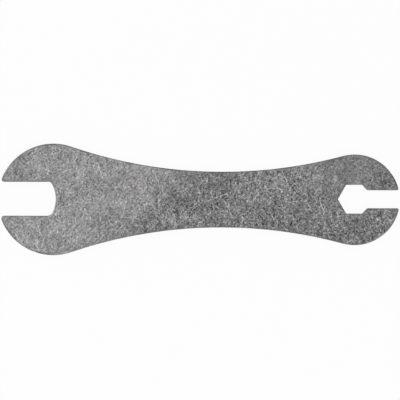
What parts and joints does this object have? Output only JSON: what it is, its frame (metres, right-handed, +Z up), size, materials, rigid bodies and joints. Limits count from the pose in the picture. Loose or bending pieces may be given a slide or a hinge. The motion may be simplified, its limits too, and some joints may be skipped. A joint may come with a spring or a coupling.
{
  "type": "open-ended spanner",
  "caption": "Flat steel spanner blanked from plate, waisted in the middle, with a plain open jaw at one end and a hexagon jaw with a narrow mouth at the other.",
  "frame": {"origin": "on the lower face, under the middle of the overall length and width", "axes": "+X along the spanner from the open jaw to the hexagon jaw, +Y across it, +Z up through the plate's thickness"},
  "size_m": [0.1526, 0.0428, 0.003],
  "materials": {
    "tumbled_steel": "bare steel, tumbled to a dull mid grey with fine marks in all directions"
  },
  "bodies": {
    "root": {"spanner_plate": "tumbled_steel"}
  },
  "joints": []
}
